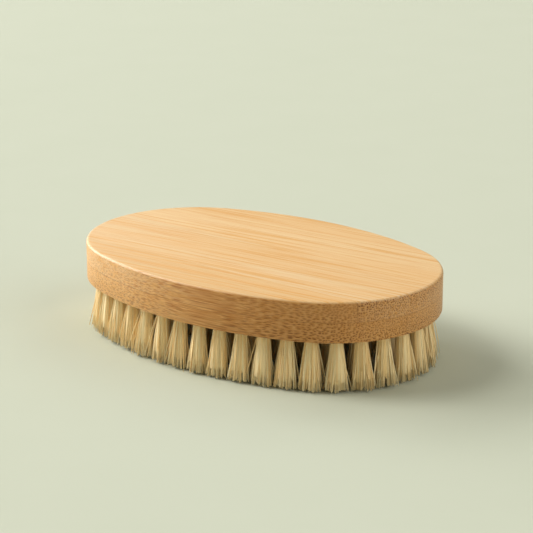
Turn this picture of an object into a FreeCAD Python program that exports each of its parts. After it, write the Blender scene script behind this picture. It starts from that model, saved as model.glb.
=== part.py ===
import FreeCAD, Part
import math
import os

from FreeCAD import Vector

# An oval nail brush with a flat back. The block is glued up from bamboo strips in two plies and drilled from
# below. Each hole holds a tuft that is folded over a flat metal anchor. Millimetres, +X along the block,
# +Z up through its back, with the trimmed bristle tips on z = 0.

os.makedirs("parts", exist_ok=True)

# Block, an oval of four tangent arcs
LENGTH = 106.0
WIDTH = 68.8
SIDE_RADIUS = 92.4
UPPER_PLY = 5.5
LOWER_PLY = 5.5
TOP_ROUND = 0.9
BOTTOM_CHAMFER = 0.4

# Bamboo strips along X, three to a ply, with staggered joints. The middle strip starts at the given Y, and
# the outer ones fill the rest of the oval.
STRIP_WIDTH = 24.0
UPPER_JOINT_Y = -19.5
LOWER_JOINT_Y = -6.8

# Holes from below, one ring along the edge and straight rows inside it. There are so many that each hole,
# with its tuft, has a few flat sides.
HOLE_DIAMETER = 3.4
HOLE_DEPTH = 5.0
RING_INSET = 4.4
RING_PITCH = 6.4
RING_LEAN = 6.0
RING_SIDES = 8
ROW_COUNT = 5
ROW_PITCH = 8.0
ROW_SIDES = 6

# Tufts, which spread from the hole to the tip
TRIM = 14.0
TIP_DIAMETER = 5.1
TUFT_CLEARANCE = 0.05

# Anchors, set across the grain inside the fold of each tuft
ANCHOR_THICKNESS = 0.5
ANCHOR_HEIGHT = 1.6
ANCHOR_CLEARANCE = 0.02
FOLD_THICKNESS = 0.9

# Worked out from the sizes above
half_length = LENGTH / 2
half_width = WIDTH / 2
end_rise = 2 * SIDE_RADIUS * half_width - half_length**2 - half_width**2
end_radius = end_rise / (2 * (SIDE_RADIUS - half_length))
end_centre = half_length - end_radius
side_centre = SIDE_RADIUS - half_width
end_angle = math.atan2(side_centre, end_centre)
underside = TRIM
glue_line = underside + LOWER_PLY
back = glue_line + UPPER_PLY
hole_radius = HOLE_DIAMETER / 2
root_radius = hole_radius - TUFT_CLEARANCE
tip_radius = TIP_DIAMETER / 2
down = Vector(0, 0, -1)
across_grain = Vector(0, 1, 0)


def oval_arcs(inset):
    """The four arcs of the outline moved inwards, each as (centre, radius, start angle, end angle)."""
    end = end_radius - inset
    side = SIDE_RADIUS - inset
    return [
        (Vector(end_centre, 0, 0), end, -end_angle, end_angle),
        (Vector(0, -side_centre, 0), side, end_angle, math.pi - end_angle),
        (Vector(-end_centre, 0, 0), end, math.pi - end_angle, math.pi + end_angle),
        (Vector(0, side_centre, 0), side, math.pi + end_angle, 2 * math.pi - end_angle),
    ]


def ply(bottom, thickness):
    """A solid of the block's outline, one ply thick."""
    edges = []
    for centre, radius, start, end in oval_arcs(0):
        circle = Part.Circle(centre + Vector(0, 0, bottom), Vector(0, 0, 1), radius)
        edges.append(Part.Arc(circle, start, end).toShape())
    return Part.Face(Part.Wire(edges)).extrude(Vector(0, 0, thickness))


def edges_at(solid, height):
    """The edges of a ply that lie in one level plane."""
    return [edge for edge in solid.Edges if all(abs(v.Z - height) < 1e-6 for v in edge.Vertexes)]


def strips(solid, joint):
    """Saws a ply along X into its strips, where the middle one starts at the given joint."""
    cuts = [-half_width, joint, joint + STRIP_WIDTH, half_width]
    box = solid.BoundBox
    pieces = []
    for low, high in zip(cuts, cuts[1:]):
        corner = Vector(box.XMin, low, box.ZMin)
        pieces.append(solid.common(Part.makeBox(box.XLength, high - low, box.ZLength, corner)))
    return pieces


def ring_holes():
    """Mouths and axes of the holes along the edge, which lean outwards, from half a pitch past +X."""
    arcs = oval_arcs(RING_INSET)
    lengths = [radius * (end - start) for centre, radius, start, end in arcs]
    total = sum(lengths)
    count = 4 * round(total / (4 * RING_PITCH))
    lean = math.radians(RING_LEAN)
    holes = []
    for number in range(count):
        along = (lengths[0] / 2 + (number + 0.5) * total / count) % total
        arc = 0
        while along > lengths[arc]:
            along -= lengths[arc]
            arc += 1
        centre, radius, start, end = arcs[arc]
        angle = start + along / radius
        outward = Vector(math.cos(angle), math.sin(angle), 0)
        mouth = centre + outward * radius + Vector(0, 0, underside)
        holes.append((mouth, outward * math.sin(lean) + down * math.cos(lean), RING_SIDES))
    return holes


def row_holes():
    """Mouths and axes of the upright holes, row by row. The rows stop one ring pitch short of the ring."""
    spacing = 2 * (half_width - RING_INSET) / (ROW_COUNT + 1)
    inset = RING_INSET + RING_PITCH
    rows = []
    for row in range(ROW_COUNT):
        y = spacing * (row - (ROW_COUNT - 1) / 2)
        if abs(y) < (end_radius - inset) * math.sin(end_angle):
            reach = end_centre + math.sqrt((end_radius - inset) ** 2 - y**2)
        else:
            reach = math.sqrt((SIDE_RADIUS - inset) ** 2 - (side_centre + abs(y)) ** 2)
        gaps = math.floor(2 * reach / ROW_PITCH)
        xs = [reach * (2 * place / gaps - 1) for place in range(gaps + 1)]
        rows.append([(Vector(x, y, underside), down, ROW_SIDES) for x in xs])
    return rows


def square_to(axis):
    """Two directions square to a hole's axis and to each other, the first of them across the grain."""
    across = (across_grain - axis * across_grain.dot(axis)).normalize()
    return across, axis.cross(across)


def polygon(centre, axis, sides, radius):
    """Corners of a regular section of a hole or tuft, with the given radius to its flats."""
    across, through = square_to(axis)
    corner_radius = radius / math.cos(math.pi / sides)
    turns = [2 * math.pi * (side + 0.5) / sides for side in range(sides)]
    return [centre + (across * math.cos(turn) + through * math.sin(turn)) * corner_radius for turn in turns]


def flat_sided(sections):
    """A solid with flat sides through matching sections, from the first to the last."""
    outlines = [sections[0], sections[-1]]
    for upper, lower in zip(sections, sections[1:]):
        outlines += [[upper[k - 1], upper[k], lower[k], lower[k - 1]] for k in range(len(upper))]
    faces = [Part.Face(Part.makePolygon(corners + corners[:1])) for corners in outlines]
    return Part.makeSolid(Part.makeShell(faces))


def hole(mouth, axis, sides):
    """What is removed for one tuft, run out past the underside."""
    ends = [mouth - axis * HOLE_DEPTH, mouth + axis * HOLE_DIAMETER]
    return flat_sided([polygon(centre, axis, sides, hole_radius) for centre in ends])


def anchor(mouth, axis, clearance):
    """The flat anchor across a hole, or with a negative clearance the slot for it in the fold."""
    across, through = square_to(axis)
    width = across * (HOLE_DIAMETER - 2 * clearance)
    thickness = through * (ANCHOR_THICKNESS - 2 * clearance)
    corner = mouth - axis * (HOLE_DEPTH - FOLD_THICKNESS - clearance) - (width + thickness) * 0.5
    outline = [corner, corner + width, corner + width + thickness, corner + thickness, corner]
    return Part.Face(Part.makePolygon(outline)).extrude(axis * (ANCHOR_HEIGHT - 2 * clearance))


def tuft(mouth, axis, sides):
    """A bundle folded round its anchor, which fills its hole, spreads below it and is trimmed at z = 0."""
    fold = polygon(mouth - axis * HOLE_DEPTH, axis, sides, root_radius)
    root = polygon(mouth, axis, sides, root_radius)
    tip = polygon(mouth + axis * (mouth.z / -axis.z), axis, sides, tip_radius)
    trimmed = [start + (end - start) * (start.z / (start.z - end.z)) for start, end in zip(root, tip)]
    return flat_sided([fold, root, trimmed]).cut(anchor(mouth, axis, -ANCHOR_CLEARANCE)).Solids[0]


ring = ring_holes()
rows = row_holes()
places = ring + [place for row in rows for place in row]

drilled = Part.makeCompound([hole(*place) for place in places])
upper = ply(glue_line, UPPER_PLY)
upper = upper.makeFillet(TOP_ROUND, edges_at(upper, back)).cut(drilled)
lower = ply(underside, LOWER_PLY)
lower = lower.makeChamfer(BOTTOM_CHAMFER, edges_at(lower, underside)).cut(drilled)

parts = {}
for number, piece in enumerate(strips(upper, UPPER_JOINT_Y), 1):
    parts[f"upper_strip_{number}"] = piece
for number, piece in enumerate(strips(lower, LOWER_JOINT_Y), 1):
    parts[f"lower_strip_{number}"] = piece
for number, place in enumerate(ring, 1):
    parts[f"outer_tuft_{number:02d}"] = tuft(*place)
for number, row in enumerate(rows, 1):
    parts[f"tuft_row_{number}"] = Part.makeCompound([tuft(*place) for place in row])
anchors = [anchor(mouth, axis, ANCHOR_CLEARANCE) for mouth, axis, sides in places]
parts["tuft_anchors"] = Part.makeCompound(anchors)

for name, shape in parts.items():
    shape.exportStep(f"parts/{name}.step")
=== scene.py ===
import math

import bmesh
import bpy
import numpy as np
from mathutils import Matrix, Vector


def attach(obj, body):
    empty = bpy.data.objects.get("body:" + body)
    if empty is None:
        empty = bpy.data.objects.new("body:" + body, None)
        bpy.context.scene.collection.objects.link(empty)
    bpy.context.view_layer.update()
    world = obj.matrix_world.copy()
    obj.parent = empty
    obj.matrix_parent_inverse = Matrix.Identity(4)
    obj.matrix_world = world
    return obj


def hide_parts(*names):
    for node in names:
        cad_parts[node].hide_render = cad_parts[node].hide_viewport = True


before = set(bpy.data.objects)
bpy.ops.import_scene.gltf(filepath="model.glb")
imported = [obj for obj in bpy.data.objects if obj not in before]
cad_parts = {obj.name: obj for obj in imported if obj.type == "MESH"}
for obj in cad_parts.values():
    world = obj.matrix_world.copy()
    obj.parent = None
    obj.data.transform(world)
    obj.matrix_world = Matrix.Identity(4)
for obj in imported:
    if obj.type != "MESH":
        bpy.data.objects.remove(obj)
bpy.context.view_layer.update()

# Upper ply of the block
# Three bamboo strips, glued edge to edge with the grain along the block, then cut to the oval. The edge of
# the back is sanded to a small round.
half_length = 0.053
half_width = 0.0344
side_radius = 0.0924
end_rise = 2 * side_radius * half_width - half_length**2 - half_width**2
end_radius = end_rise / (2 * (side_radius - half_length))
end_centre = half_length - end_radius
side_centre = side_radius - half_width
end_angle = math.atan2(side_centre, end_centre)
side_angle = math.pi / 2 - end_angle
end_steps = 28
side_steps = 22
underside = 0.014
glue_line = 0.0195
back = 0.025
back_round = 0.0009
back_round_steps = 7
strip_width = 0.024
upper_joint = -0.0195
same_height = 0.000001
smooth_below = math.radians(35)


def oval_ply(name, bottom, top):
    """A plain slab of the block's outline: one vertex is spun along two arcs, mirrored, filled and raised."""
    bpy.ops.object.select_all(action="DESELECT")
    bpy.ops.mesh.primitive_plane_add(size=0.01, location=(0, 0, 0))
    ply = bpy.context.object
    ply.name = name
    bpy.ops.object.mode_set(mode="EDIT")
    bpy.ops.mesh.select_mode(type="VERT")
    bpy.ops.mesh.select_all(action="SELECT")
    bpy.ops.mesh.merge(type="CENTER")
    bpy.ops.transform.translate(value=(half_length, 0, bottom))
    bpy.ops.mesh.spin(steps=end_steps, angle=-end_angle, center=(end_centre, 0, bottom), axis=(0, 0, 1))
    bpy.ops.mesh.spin(steps=side_steps, angle=-side_angle, center=(0, -side_centre, bottom), axis=(0, 0, 1))
    bpy.ops.object.mode_set(mode="OBJECT")
    mirror = ply.modifiers.new("other_quarters", "MIRROR")
    mirror.use_axis = (True, True, False)
    mirror.merge_threshold = 0.00001
    bpy.ops.object.modifier_apply(modifier=mirror.name)
    bpy.ops.object.mode_set(mode="EDIT")
    bpy.ops.mesh.select_all(action="SELECT")
    bpy.ops.mesh.edge_face_add()
    bpy.ops.mesh.extrude_region_move(TRANSFORM_OT_translate={"value": (0, 0, top - bottom)})
    bpy.ops.mesh.select_all(action="SELECT")
    bpy.ops.mesh.normals_make_consistent(inside=False)
    bpy.ops.object.mode_set(mode="OBJECT")
    return ply


def round_rim(ply, height, size, steps):
    """Bevels the edge all round a ply at one height."""
    bpy.ops.object.mode_set(mode="EDIT")
    bpy.ops.mesh.select_mode(type="EDGE")
    bpy.ops.mesh.select_all(action="DESELECT")
    mesh = bmesh.from_edit_mesh(ply.data)
    for edge in mesh.edges:
        if all(abs(end.co.z - height) < same_height for end in edge.verts):
            edge.select_set(True)
    bmesh.update_edit_mesh(ply.data)
    bpy.ops.mesh.bevel(offset=size, segments=steps, profile=0.5)
    bpy.ops.object.mode_set(mode="OBJECT")


def saw_strip(ply, name, low, high):
    """Copies a ply and keeps what lies between two saw cuts along the grain."""
    bpy.ops.object.select_all(action="DESELECT")
    ply.select_set(True)
    bpy.context.view_layer.objects.active = ply
    bpy.ops.object.duplicate()
    strip = bpy.context.object
    strip.name = name
    bpy.ops.object.mode_set(mode="EDIT")
    for cut, side in ((low, -1), (high, 1)):
        if abs(cut) < half_width:
            bpy.ops.mesh.select_all(action="SELECT")
            bpy.ops.mesh.bisect(plane_co=(0, cut, 0), plane_no=(0, side, 0), use_fill=True, clear_outer=True)
    bpy.ops.object.mode_set(mode="OBJECT")
    bpy.ops.object.shade_smooth_by_angle(angle=smooth_below)
    return strip


upper_ply = oval_ply("upper_ply", glue_line, back)
round_rim(upper_ply, back, back_round, back_round_steps)
upper_cuts = [-half_width, upper_joint, upper_joint + strip_width, half_width]
upper_strips = []
for number in range(1, 4):
    strip = saw_strip(upper_ply, f"bamboo_upper_{number}", upper_cuts[number - 1], upper_cuts[number])
    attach(strip, "root")
    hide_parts(f"upper_strip_{number}")
    upper_strips.append(strip)
bpy.data.objects.remove(upper_ply)

# Lower ply of the block
# Three more strips, with their joints away from those above. The ply is drilled from below, one blind hole
# for each tuft, and its lower edge is broken with sandpaper.
lower_joint = -0.0068
lower_break = 0.0004
lower_break_steps = 2
hole_radius = 0.0017
hole_depth = 0.005
hole_sides = 20
drill_overrun = 0.002
mouth_slack = 0.0002
floor_slack = 0.0001
tuft_gap = 0.003


def tuft_places(node):
    """Mouth and tip of each tuft in a CAD node, as the middles of its sections at underside and floor."""
    corners = {tuple(round(c, 6) for c in v.co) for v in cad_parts[node].data.vertices}
    mouth_corners = sorted(c for c in corners if abs(c[2] - underside) < mouth_slack)
    groups = [[mouth_corners[0]]]
    for corner in mouth_corners[1:]:
        if corner[0] - groups[-1][-1][0] > tuft_gap:
            groups.append([])
        groups[-1].append(corner)
    mouths = [Vector(np.mean(group, axis=0)) for group in groups]
    tip_groups = [[] for mouth in mouths]
    for corner in corners:
        if corner[2] < floor_slack:
            nearest = min(range(len(mouths)), key=lambda k: (mouths[k].xy - Vector(corner[:2])).length)
            tip_groups[nearest].append(corner)
    return [(mouth, Vector(np.mean(group, axis=0))) for mouth, group in zip(mouths, tip_groups)]


outer_nodes = sorted(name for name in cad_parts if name.startswith("outer_tuft_"))
row_nodes = sorted(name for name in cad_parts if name.startswith("tuft_row_"))
places = {node: tuft_places(node) for node in outer_nodes + row_nodes}

lower_ply = oval_ply("lower_ply", underside, glue_line)
round_rim(lower_ply, underside, lower_break, lower_break_steps)
bpy.ops.object.select_all(action="DESELECT")
drills = []
for node_places in places.values():
    for mouth, tip in node_places:
        axis = (mouth - tip).normalized()
        bpy.ops.mesh.primitive_cylinder_add(
            vertices=hole_sides,
            radius=hole_radius,
            depth=hole_depth + drill_overrun,
            location=mouth + axis * (hole_depth / 2 - drill_overrun / 2),
            rotation=axis.to_track_quat("Z", "Y").to_euler(),
        )
        drills.append(bpy.context.object)
for drill in drills:
    drill.select_set(True)
bpy.context.view_layer.objects.active = drills[0]
bpy.ops.object.join()
drill = bpy.context.object
bpy.ops.object.transform_apply(location=True, rotation=True, scale=True)
bpy.ops.object.select_all(action="DESELECT")
bpy.context.view_layer.objects.active = lower_ply
bore = lower_ply.modifiers.new("holes", "BOOLEAN")
bore.operation = "DIFFERENCE"
bore.solver = "EXACT"
bore.object = drill
bpy.ops.object.modifier_apply(modifier=bore.name)
bpy.data.objects.remove(drill)
lower_cuts = [-half_width, lower_joint, lower_joint + strip_width, half_width]
lower_strips = []
for number in range(1, 4):
    strip = saw_strip(lower_ply, f"bamboo_lower_{number}", lower_cuts[number - 1], lower_cuts[number])
    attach(strip, "root")
    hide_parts(f"lower_strip_{number}")
    lower_strips.append(strip)
bpy.data.objects.remove(lower_ply)

# Bamboo of the strips
# Pale honey wood with a satin oil finish. Dark fibre bundles are streaks on the back and dots on the ends.
# The wall is rougher and browner in the middle, its paler left end is painted light, it pales again past the
# far right end, and the glue shows as brown lines.
mm_per_metre = 1000
grain_turn = math.radians(-4.5)
bundle_pitch = 0.50
relief_depth = 0.00008


def add_node(tree, kind, inputs=None, **settings):
    """A node with its settings, whose inputs take values or other nodes' outputs."""
    made = tree.nodes.new(kind)
    for name, value in settings.items():
        setattr(made, name, value)
    for name, value in (inputs or {}).items():
        if isinstance(value, bpy.types.NodeSocket):
            tree.links.new(value, made.inputs[name])
        else:
            made.inputs[name].default_value = value
    return made


def combine(tree, operation, first, second=0.0):
    """A Math node's result."""
    return add_node(tree, "ShaderNodeMath", {0: first, 1: second}, operation=operation).outputs[0]


def product(tree, first, *others):
    """Values multiplied together."""
    for other in others:
        first = combine(tree, "MULTIPLY", first, other)
    return first


def distance(tree, value, place):
    """How far a value lies from a place, on either side of it."""
    return combine(tree, "ABSOLUTE", combine(tree, "SUBTRACT", value, place))


def blend(tree, share, first, second):
    """A colour mixed from two by a share. Inputs 6 and 7 of a Mix node are its two colours."""
    return add_node(tree, "ShaderNodeMix", {0: share, 6: first, 7: second}, data_type="RGBA").outputs[2]


def between(tree, value, low, high, to_low=0.0, to_high=1.0):
    """A value taken smoothly from one range to another."""
    inputs = {"Value": value, "From Min": low, "From Max": high, "To Min": to_low, "To Max": to_high}
    return add_node(tree, "ShaderNodeMapRange", inputs, interpolation_type="SMOOTHSTEP").outputs[0]


def added(tree, first, second):
    """Two vectors added."""
    return add_node(tree, "ShaderNodeVectorMath", {0: first, 1: second}, operation="ADD").outputs[0]


def scaled(tree, vector, scale):
    """A vector times another, axis by axis."""
    return add_node(tree, "ShaderNodeVectorMath", {0: vector, 1: scale}, operation="MULTIPLY").outputs[0]


def axes_of(tree, vector):
    """The X, Y and Z of a vector."""
    return add_node(tree, "ShaderNodeSeparateXYZ", {0: vector}).outputs


def noise(tree, vector, detail=2.0, roughness=0.5):
    """The value and the colour of a noise on a vector that is already in its own scale."""
    inputs = {"Vector": vector, "Scale": 1.0, "Detail": detail, "Roughness": roughness}
    return add_node(tree, "ShaderNodeTexNoise", inputs).outputs


def new_material(name):
    """A material with its node tree and its shader."""
    material = bpy.data.materials.new(name)
    material.use_nodes = True
    return material, material.node_tree, material.node_tree.nodes["Principled BSDF"]


grain = bpy.data.node_groups.new("bamboo_grain", "ShaderNodeTree")
group_inputs = {
    "Position": "NodeSocketVector",
    "Normal": "NodeSocketVector",
    "Shift": "NodeSocketVector",
    "Joint": "NodeSocketFloat",
    "Dots": "NodeSocketFloat",
    "Skin Height": "NodeSocketFloat",
    "Pith Height": "NodeSocketFloat",
    "Pale Wood": "NodeSocketColor",
    "Deep Wood": "NodeSocketColor",
}
group_outputs = {"Colour": "NodeSocketColor", "Roughness": "NodeSocketFloat", "Height": "NodeSocketFloat"}
for name, kind in group_inputs.items():
    grain.interface.new_socket(name, in_out="INPUT", socket_type=kind)
for name, kind in group_outputs.items():
    grain.interface.new_socket(name, in_out="OUTPUT", socket_type=kind)
given = grain.nodes.new("NodeGroupInput").outputs
result = grain.nodes.new("NodeGroupOutput").inputs

# Millimetres, turned a little off the block's length and moved so that no two strips share a pattern
turned = {
    "Vector": given["Position"],
    "Rotation": (0, 0, grain_turn),
    "Scale": (mm_per_metre, mm_per_metre, mm_per_metre),
}
in_mm = add_node(grain, "ShaderNodeMapping", turned).outputs[0]
moved = added(grain, in_mm, given["Shift"])
place_mm = axes_of(grain, in_mm)
along_mm = place_mm["X"]
height_mm = place_mm["Z"]
across_mm = product(grain, axes_of(grain, given["Position"])["Y"], mm_per_metre)
facing = axes_of(grain, given["Normal"])
facing_up = combine(grain, "ABSOLUTE", facing["Z"])
wall = between(grain, facing_up, 0.88, 0.30)
end_grain = between(grain, combine(grain, "ABSOLUTE", facing["X"]), 0.0, 0.45, 0.4, 1.0)
along_side = product(grain, wall, combine(grain, "SUBTRACT", 1.15, end_grain))
skin = between(grain, height_mm, given["Pith Height"], given["Skin Height"])


def along_grain(length, width, detail=2.0, roughness=0.5):
    """A noise whose spots have a length along the grain and a width across it, in millimetres."""
    return noise(grain, scaled(grain, moved, (1 / length, 1 / width, 1 / width)), detail, roughness)


# Ends of fibre bundles on the walls: dots on the ends of the block, drawn out to dashes along its sides
wander = scaled(grain, along_grain(14, 5)["Color"], (0, 1.0, 1.0))
bundle_place = scaled(grain, added(grain, wander, moved), (0, 1 / bundle_pitch, 1 / bundle_pitch))
bundle_axes = axes_of(grain, bundle_place)
cut_across = add_node(grain, "ShaderNodeCombineXYZ", {0: bundle_axes["Y"], 1: bundle_axes["Z"]}).outputs[0]
cells = {"Vector": cut_across, "Scale": 1.0, "Randomness": 0.8}
bundles = add_node(grain, "ShaderNodeTexVoronoi", cells, voronoi_dimensions="2D").outputs
chance = add_node(grain, "ShaderNodeSeparateColor", {0: bundles["Color"]}).outputs
bundle_size = between(grain, chance["Red"], 0.0, 1.0, 0.165, 0.28)
bundle_size = product(grain, bundle_size, between(grain, skin, 0.0, 1.0, 0.92, 1.12))
inner_edge = combine(grain, "SUBTRACT", bundle_size, 0.08)
outer_edge = combine(grain, "ADD", bundle_size, 0.10)
bundle = between(grain, bundles["Distance"], outer_edge, inner_edge)
strength = product(
    grain,
    between(grain, chance["Green"], 0.0, 1.0, 0.6, 1.0),
    wall,
    between(grain, skin, 0.0, 1.0, 0.80, 1.0),
    between(grain, along_mm, -50.0, -5.0, 0.6, 1.0),
    given["Dots"],
)
mark = product(grain, strength, end_grain, bundle)
clear_wood = product(grain, wall, end_grain, between(grain, bundles["Distance"], 0.42, 0.62, 0.0, 0.30))

# Long streaks, fine fibres and broad bands along the grain
streaks = between(grain, along_grain(55, 1.1, roughness=0.55)[0], 0.48, 0.68)
lines = between(grain, along_grain(28, 0.42, detail=1.0)[0], 0.52, 0.72)
side_lines = along_grain(9, 0.33, detail=1.0)[0]
dark_lines = between(grain, side_lines, 0.52, 0.70)
pale_lines = between(grain, side_lines, 0.48, 0.30)
fibres = along_grain(5, 0.16)[0]
bands = along_grain(160, 5, roughness=0.6)[0]

# Glue between the plies and at the butt joints of the strips
from_glue = distance(grain, height_mm, mm_per_metre * glue_line)
past_joint = combine(grain, "SUBTRACT", across_mm, given["Joint"])
from_first = combine(grain, "ABSOLUTE", past_joint)
from_second = distance(grain, past_joint, mm_per_metre * strip_width)
from_joint = combine(grain, "MINIMUM", from_first, from_second)
glued = combine(
    grain, "MAXIMUM", between(grain, from_glue, 0.11, 0.03), between(grain, from_joint, 0.16, 0.05))
seam = product(grain, glued, between(grain, bands, 0.35, 0.55, 0.2, 0.6))

# Colour, from the clear wood to the marks on it, then roughness and relief
# Browner towards the middle of the wall. The paler left end is painted light from the lamps on the left; past
# the far right end the wall pales again.
wall_tone_and_painted_light = between(grain, along_mm, -29.0, 19.0, 0.29, 0.86)
wall_tone_and_painted_light = product(grain, wall_tone_and_painted_light, between(grain, along_mm, 40.0, 52.0, 1.0, 0.74))
wood = blend(grain, between(grain, bands, 0.40, 0.66, 0.0, 0.6), given["Pale Wood"], given["Deep Wood"])
for share, colour in (
    (product(grain, streaks, 0.8), (0.775, 0.415, 0.13, 1)),
    (product(grain, lines, 0.7), (0.74, 0.36, 0.10, 1)),
    (between(grain, fibres, 0.42, 0.75, 0.0, 0.16), (0.62, 0.28, 0.075, 1)),
    (between(grain, fibres, 0.55, 0.25, 0.0, 0.10), (0.95, 0.72, 0.42, 1)),
    (product(grain, wall, wall_tone_and_painted_light), (0.50, 0.195, 0.036, 1)),
    (product(grain, dark_lines, along_side), (0.42, 0.140, 0.022, 1)),
    (product(grain, pale_lines, along_side), (0.76, 0.42, 0.145, 1)),
    (clear_wood, (0.80, 0.47, 0.17, 1)),
    (mark, (0.19, 0.056, 0.009, 1)),
    (product(grain, seam, wall), (0.26, 0.09, 0.02, 1)),
):
    wood = blend(grain, share, wood, colour)
rough = between(grain, fibres, 0.3, 0.7, 0.34, 0.46)
rough = combine(grain, "ADD", rough, product(grain, mark, 0.2))
pores = product(grain, between(grain, facing_up, 0.99, 0.85), 1.6, along_grain(0.9, 0.4, detail=1.0)[0])
relief = combine(grain, "ADD", product(grain, fibres, 0.4), pores)
relief = combine(grain, "SUBTRACT", relief, mark)
grain.links.new(wood, result["Colour"])
grain.links.new(rough, result["Roughness"])
grain.links.new(relief, result["Height"])


def bamboo(name, shift, joint, dots, pith, skin_height, pale, deep):
    """The material of one strip, with its own stretch of cane and its own tone."""
    material, tree, shader = new_material(name)
    coordinates = add_node(tree, "ShaderNodeTexCoord").outputs
    strip_values = {
        "Position": coordinates["Object"],
        "Normal": coordinates["Normal"],
        "Shift": shift,
        "Joint": mm_per_metre * joint,
        "Dots": dots,
        "Pith Height": pith,
        "Skin Height": skin_height,
        "Pale Wood": (*pale, 1),
        "Deep Wood": (*deep, 1),
    }
    made = add_node(tree, "ShaderNodeGroup", strip_values, node_tree=grain).outputs
    bump_values = {"Height": made["Height"], "Distance": relief_depth, "Strength": 0.8}
    bump = add_node(tree, "ShaderNodeBump", bump_values).outputs[0]
    tree.links.new(made["Colour"], shader.inputs["Base Color"])
    tree.links.new(made["Roughness"], shader.inputs["Roughness"])
    tree.links.new(bump, shader.inputs["Normal"])
    shader.inputs["Specular IOR Level"].default_value = 0.4
    return material


# Each strip with its stretch of cane, joint, strength of dots, heights of pith and skin, and two tones
honey = (0.882, 0.632, 0.356)
honey_deep = (0.842, 0.520, 0.234)
strip_materials = (
    (upper_strips[0], (13, 4, 2), upper_joint, 0.55, 24.5, 19.0, (0.785, 0.53, 0.272), honey_deep),
    (upper_strips[1], (71, 31, 9), upper_joint, 1.0, 18.5, 25.0, (0.842, 0.604, 0.346), honey_deep),
    (upper_strips[2], (37, 58, 17), upper_joint, 1.0, 18.5, 26.0, honey, honey_deep),
    (lower_strips[0], (91, 83, 21), lower_joint, 0.9, 20.5, 14.0, (0.80, 0.50, 0.225), (0.72, 0.39, 0.135)),
    (lower_strips[1], (29, 47, 33), lower_joint, 1.0, 20.5, 14.0, (0.84, 0.54, 0.25), (0.76, 0.42, 0.15)),
    (lower_strips[2], (53, 19, 41), lower_joint, 1.0, 14.0, 20.0, (0.84, 0.54, 0.25), (0.76, 0.42, 0.15)),
)
for strip, *values in strip_materials:
    strip.data.materials.clear()
    strip.data.materials.append(bamboo(strip.name, *values))

# Anchors of the tufts
# A small flat piece of steel at the bottom of each hole, driven into the wood across the grain. The tuft is
# folded over it. They keep their CAD shape, and their metal shows the marks of rolling.
steel, tree, shader = new_material("anchor_steel")
position = add_node(tree, "ShaderNodeTexCoord").outputs["Object"]
rolled = noise(tree, scaled(tree, position, (3000, 400, 9000)), detail=3.0)[0]
tree.links.new(blend(tree, rolled, (0.50, 0.49, 0.47, 1), (0.66, 0.65, 0.63, 1)), shader.inputs["Base Color"])
tree.links.new(between(tree, rolled, 0.3, 0.7, 0.28, 0.45), shader.inputs["Roughness"])
shader.inputs["Metallic"].default_value = 1.0
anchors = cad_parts["tuft_anchors"]
anchors.data.materials.clear()
anchors.data.materials.append(steel)

# Tufts of bristle
# Straw-coloured plant fibre, folded over the anchor, spread below the hole and cut off level. The ring's
# tufts spread less outwards, a few fibres stray, and a fluted body stands for those that lie packed inside.
bristle_radius = 0.000125
tip_taper = 0.65
outer_bristles = 110
row_bristles = 80
outer_seed = 100
row_seed = 200
root_spread = 0.0015
tip_spread = 0.00325
packed_tip_spread = 0.00308
spread_power = 1.05
leg_shares = (1.0, 0.72, 0.42, 0.16, 0.0)
outward_hold = 0.32
least_lean = 0.0005
anchor_half = 0.00025
least_from_anchor = 0.04
anchor_foot = 0.0025
fold_depth = 0.0046
fold_scatter = 0.00025
clumps = 18
golden_angle = 2.39996
clump_scatter = 0.05
stray_share = 0.10
stray_reach = 0.75
cut_scatter = 0.00035
clump_cut = 0.0007
short_share = 0.1
short_cut = 0.0007
bow_scatter = 0.00010
flutes = 44
flute_reach = [1.03, 0.98]
# The valleys between the flutes are darker: painted shade between the packed fibres.
painted_flute_shade = [1.0, 0.45]
packed_rings = ((-0.08, 1.0), (0.2, 1.0), (0.45, 1.0), (0.66, 0.98), (0.85, 0.90))
packed_scatter = 0.0018
floor_gap = 0.00005

bristle, tree, shader = new_material("bristle")
strand = add_node(tree, "ShaderNodeAttribute", attribute_name="strand").outputs["Fac"]
along = add_node(tree, "ShaderNodeAttribute", attribute_name="along").outputs["Fac"]
position = add_node(tree, "ShaderNodeTexCoord").outputs["Object"]
flecks = noise(tree, scaled(tree, position, (4000, 4000, 500)))[0]
straw = blend(tree, between(tree, strand, 0.0, 1.0), (1.0, 0.715, 0.335, 1), (1.0, 0.865, 0.555, 1))
# Dark strands: a random tone on the loose fibres, and painted shade in the valleys of the packed body.
straw = blend(tree, between(tree, strand, 0.25, 0.0, 0.0, 0.5), straw, (0.80, 0.52, 0.19, 1))
straw = blend(tree, between(tree, flecks, 0.5, 0.8, 0.0, 0.2), straw, (0.80, 0.55, 0.22, 1))
# Darker towards the roots, under the block: painted shade.
straw = blend(tree, between(tree, along, 0.3, 0.7, 0.25, 0.0), straw, (0.80, 0.56, 0.24, 1))
tree.links.new(straw, shader.inputs["Base Color"])
tree.links.new(between(tree, flecks, 0.3, 0.7, 0.42, 0.58), shader.inputs["Roughness"])
shader.inputs["Specular IOR Level"].default_value = 0.35
shader.inputs["Sheen Weight"].default_value = 1.0
shader.inputs["Sheen Roughness"].default_value = 0.5
shader.inputs["Sheen Tint"].default_value = (1.0, 0.84, 0.58, 1)


def tuft_axes(mouth, tip):
    """Directions across the grain, along which the anchor lies, through its thickness and along the tuft."""
    axis = (tip - mouth).normalized()
    across = Vector((0, 1, 0))
    across = (across - axis * across.dot(axis)).normalized()
    return across, axis.cross(across), axis


def outward_shares(mouth, tip, across, through):
    """How far the two directions across a leaning tuft point outwards. An upright one has no such side."""
    lean = Vector((tip.x - mouth.x, tip.y - mouth.y, 0))
    if lean.length < least_lean:
        return 0.0, 0.0
    return across.dot(lean.normalized()), through.dot(lean.normalized())


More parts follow.
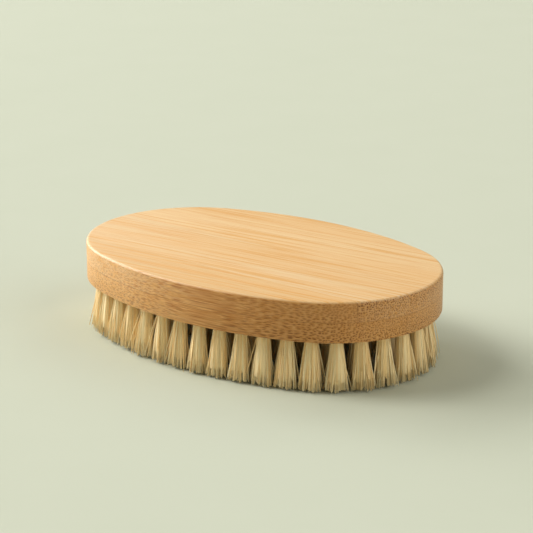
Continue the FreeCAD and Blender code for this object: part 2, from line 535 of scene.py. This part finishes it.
def bristle_paths(mouth, tip, count, draw):
    """Points along each folded bristle of one tuft, from one tip over the anchor to the other tip."""
    across, through, axis = tuft_axes(mouth, tip)
    out_across, out_through = outward_shares(mouth, tip, across, through)
    reach = (tip - mouth).length
    clump_turn = draw.uniform(0, 2 * math.pi)
    numbers = np.arange(clumps)
    clump_radius = np.sqrt((numbers + 0.5) / clumps)
    clump_angle = numbers * golden_angle + clump_turn
    clump_x = clump_radius * np.cos(clump_angle)
    clump_y = clump_radius * np.sin(clump_angle)
    legs = []
    for side in (1, -1):
        # Places across the mouth of the hole, as shares of its radius, on one side of the anchor
        radius = np.sqrt(draw.uniform(0.2, 1.0, count))
        angle = draw.uniform(-0.5, 0.5, count) * math.pi
        x = np.maximum(radius * np.cos(angle), least_from_anchor) * side
        y = radius * np.sin(angle)

        # Tips, drawn together in clumps, with strays, and held back on the outward side
        nearest = np.argmin((x[:, None] - clump_x) ** 2 + (y[:, None] - clump_y) ** 2, axis=1)
        pull = draw.uniform(0.25, 0.8, count)
        tip_x = x + (clump_x[nearest] - x) * pull + draw.normal(0, clump_scatter, count)
        tip_y = y + (clump_y[nearest] - y) * pull + draw.normal(0, clump_scatter, count)
        stray = draw.uniform(0, 1, count) < stray_share
        tip_x += np.where(stray, draw.uniform(-stray_reach, stray_reach, count), 0)
        tip_y += np.where(stray, draw.uniform(-stray_reach, stray_reach, count), 0)
        held = outward_hold * (tip_x * out_through + tip_y * out_across)
        tip_x -= held * out_through
        tip_y -= held * out_across

        # What the cut takes off each tip, and how far the leg bows
        cut = np.abs(draw.normal(0, cut_scatter, count))
        cut = cut + np.where(draw.uniform(0, 1, count) < short_share, short_cut, 0)
        cut += draw.uniform(0, clump_cut, clumps)[nearest]
        bow_x = draw.normal(0, bow_scatter, count)
        bow_y = draw.normal(0, bow_scatter, count)

        stations = []
        for share in leg_shares:
            spread = share**spread_power
            place_x = root_spread * x * (1 - spread) + tip_spread * tip_x * spread
            place_y = root_spread * y * (1 - spread) + tip_spread * tip_y * spread
            swell = 4 * share * (1 - share)
            far = reach * share - cut * share
            stations.append((place_x + bow_x * swell, place_y + bow_y * swell, far))
        gather_x = np.clip(np.abs(root_spread * x), anchor_half + bristle_radius, None) * side
        stations.append((gather_x, root_spread * y, np.full(count, -anchor_foot)))
        legs.append(stations)
    over = np.full(count, -fold_depth) + draw.uniform(-fold_scatter, fold_scatter, count)
    fold = (np.zeros(count), (legs[0][-1][1] + legs[1][-1][1]) / 2, over)
    paths = legs[0] + [fold] + legs[1][::-1]
    places_in_tuft = np.stack([np.stack(station, axis=1) for station in paths], axis=1)
    points = places_in_tuft @ np.array([through, across, axis]) + np.array(mouth)
    points[:, :, 2] = np.maximum(points[:, :, 2], floor_gap)
    return points, np.array(across)


def packed_inside(mouth, tip, draw):
    """The packed fibres inside a tuft: rings of a fluted body from the mouth to the tips, and their tones,
    darker in the valleys as painted shade.
    """
    across, through, axis = tuft_axes(mouth, tip)
    out_across, out_through = outward_shares(mouth, tip, across, through)
    reach = (tip - mouth).length
    turn = (np.arange(2 * flutes) + draw.uniform(-0.25, 0.25, 2 * flutes)) * math.pi / flutes
    fullness = np.repeat(draw.uniform(0.93, 1.0, flutes), 2) * np.tile(flute_reach, flutes)
    rings = []
    for share, gather in packed_rings:
        spread = max(share, 0) ** spread_power
        from_root = root_spread * (1 - spread)
        from_tip = packed_tip_spread * spread
        radius = fullness * gather * (from_root + from_tip)
        place_y = radius * np.cos(turn)
        place_x = radius * np.sin(turn)
        held = outward_hold * from_tip / (from_root + from_tip)
        held = held * (place_x * out_through + place_y * out_across)
        far = reach * share - share * draw.uniform(0, packed_scatter, 2 * flutes)
        ring = np.outer(place_y - held * out_across, across) + np.outer(place_x - held * out_through, through)
        rings.append(ring + np.outer(far, axis) + np.array(mouth))
    # Random tones, darker in the valleys between the flutes: painted shade.
    tones_and_valley_shade = np.repeat(draw.uniform(0.1, 1, flutes), 2) * np.tile(painted_flute_shade, flutes)
    return np.array(rings), tones_and_valley_shade


def make_tufts(name, node, count, seed):
    """All the tufts of a CAD node as one mesh: packed insides and thin four-sided tubes with cut ends."""
    draw = np.random.RandomState(seed)
    sides = 4
    turn = 2 * math.pi * np.arange(sides) / sides
    points = np.zeros((0, 3))
    faces = []
    strand_values = []
    along_values = []
    for mouth, tip in places[node]:
        paths, across = bristle_paths(mouth, tip, count, draw)
        stations = paths.shape[1]
        share = np.abs(np.arange(stations) - stations // 2) / (stations // 2)
        heading = np.gradient(paths, axis=1)
        heading /= np.linalg.norm(heading, axis=2, keepdims=True)
        side = across - heading * (heading @ across)[:, :, None]
        side /= np.linalg.norm(side, axis=2, keepdims=True)
        other = np.cross(heading, side)
        out = side[:, :, None] * np.cos(turn)[:, None] + other[:, :, None] * np.sin(turn)[:, None]
        thickness = bristle_radius * draw.uniform(0.75, 1.2, (count, 1))
        thickness = thickness * np.where(share > 0.9, tip_taper, 1.0)
        tubes = paths[:, :, None] + out * thickness[:, :, None, None]
        body, body_tones_and_valley_shade = packed_inside(mouth, tip, draw)
        tube_tints = np.broadcast_to(draw.uniform(0, 1, count)[:, None, None], tubes.shape[:3])
        tube_share = np.broadcast_to(share[None, :, None], tubes.shape[:3])
        body_share = np.linspace(0.4, 1.0, len(body))[:, None] * np.ones(len(body_tones_and_valley_shade))
        for rings, tone_and_shade, place in ((tubes, tube_tints, tube_share), (body[None], body_tones_and_valley_shade, body_share)):
            index = len(points) + np.arange(rings.size // 3).reshape(rings.shape[:3])
            here = index[:, :-1]
            after = index[:, 1:]
            walls = np.stack([here, np.roll(here, -1, axis=2), np.roll(after, -1, axis=2), after], axis=3)
            faces += walls.reshape(-1, 4).tolist() + index[:, 0, ::-1].tolist() + index[:, -1].tolist()
            points = np.concatenate([points, rings.reshape(-1, 3)])
            strand_values.append(np.broadcast_to(tone_and_shade, index.shape).ravel())
            along_values.append(np.broadcast_to(place, index.shape).ravel())
    mesh = bpy.data.meshes.new(name)
    mesh.from_pydata(points.tolist(), [], faces)
    mesh.attributes.new("strand", "FLOAT", "POINT").data.foreach_set("value", np.concatenate(strand_values))
    mesh.attributes.new("along", "FLOAT", "POINT").data.foreach_set("value", np.concatenate(along_values))
    mesh.polygons.foreach_set("use_smooth", [True] * len(faces))
    mesh.materials.append(bristle)
    piece = bpy.data.objects.new(name, mesh)
    bpy.context.scene.collection.objects.link(piece)
    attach(piece, "root")
    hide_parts(node)


for number, node in enumerate(outer_nodes, 1):
    make_tufts(f"bristles_outer_{number:02d}", node, outer_bristles, outer_seed + number)
for number, node in enumerate(row_nodes, 1):
    make_tufts(f"bristles_row_{number}", node, row_bristles, row_seed + number)

# Floor, light and camera
# A matte sage floor. A key lamp and a broad low window stand on the left, two weak lamps behind the brush
# and a broad one on the right, with a weak warm fill all round. The camera looks at the middle of the block.
floor_size = 8.0
bpy.ops.object.select_all(action="DESELECT")
bpy.ops.mesh.primitive_plane_add(size=floor_size, location=(0, 0, 0))
floor = bpy.context.object
floor.name = "floor"
sage, tree, shader = new_material("sage_floor")
position = add_node(tree, "ShaderNodeTexCoord").outputs["Object"]
mottle = noise(tree, scaled(tree, position, (40, 40, 40)), detail=3.0)[0]
mottle = blend(tree, mottle, (0.569, 0.605, 0.501, 1), (0.585, 0.619, 0.518, 1))
tree.links.new(mottle, shader.inputs["Base Color"])
shader.inputs["Roughness"].default_value = 0.9
shader.inputs["Specular IOR Level"].default_value = 0.1
floor.data.materials.append(sage)

world = bpy.data.worlds.new("studio")
bpy.context.scene.world = world
world.use_nodes = True
tree = world.node_tree
tree.nodes.clear()
fill = add_node(tree, "ShaderNodeBackground", {"Color": (0.97, 0.98, 0.75, 1), "Strength": 0.18})
add_node(tree, "ShaderNodeOutputWorld", {"Surface": fill.outputs[0]})

lamp_distance = 5.0


def soft_lamp(name, direction, size, power, colour):
    """A square lamp some way from the brush, turned towards it."""
    lamp = bpy.data.lights.new(name, "AREA")
    lamp.size = size
    lamp.energy = power
    lamp.color = colour
    holder = bpy.data.objects.new(name, lamp)
    holder.location = Vector(direction).normalized() * lamp_distance
    holder.rotation_euler = Vector(direction).to_track_quat("Z", "Y").to_euler()
    bpy.context.scene.collection.objects.link(holder)


soft_lamp("lamp_left", (-0.602, -0.343, 0.719), 2.2, 118.0, (1.0, 0.96, 0.90))
soft_lamp("lamp_window", (-0.951, -0.150, 0.270), 4.0, 385.0, (1.0, 0.99, 0.97))
soft_lamp("lamp_rim", (-0.875, 0.385, 0.29), 3.5, 52.0, (1.0, 0.98, 0.96))
soft_lamp("lamp_back", (-0.035, 0.765, 0.643), 2.5, 28.0, (1.0, 0.98, 0.95))
soft_lamp("lamp_right", (0.83, 0.16, 0.50), 4.5, 120.0, (1.0, 0.96, 0.90))

azimuth = math.radians(37.6)
elevation = math.radians(17.66)
camera_distance = 0.5441
level = math.cos(elevation)
towards_camera = Vector((math.sin(azimuth) * level, -math.cos(azimuth) * level, math.sin(elevation)))
lens = bpy.data.cameras.new("camera")
lens.lens = 135.31
lens.sensor_width = 36
lens.shift_x = 0.0113
lens.shift_y = 0.0069
camera = bpy.data.objects.new("camera", lens)
camera.location = Vector((0, 0, glue_line)) + towards_camera * camera_distance
camera.rotation_euler = (-towards_camera).to_track_quat("-Z", "Y").to_euler()
bpy.context.scene.collection.objects.link(camera)
bpy.context.scene.camera = camera
bpy.context.scene.view_settings.view_transform = "Standard"
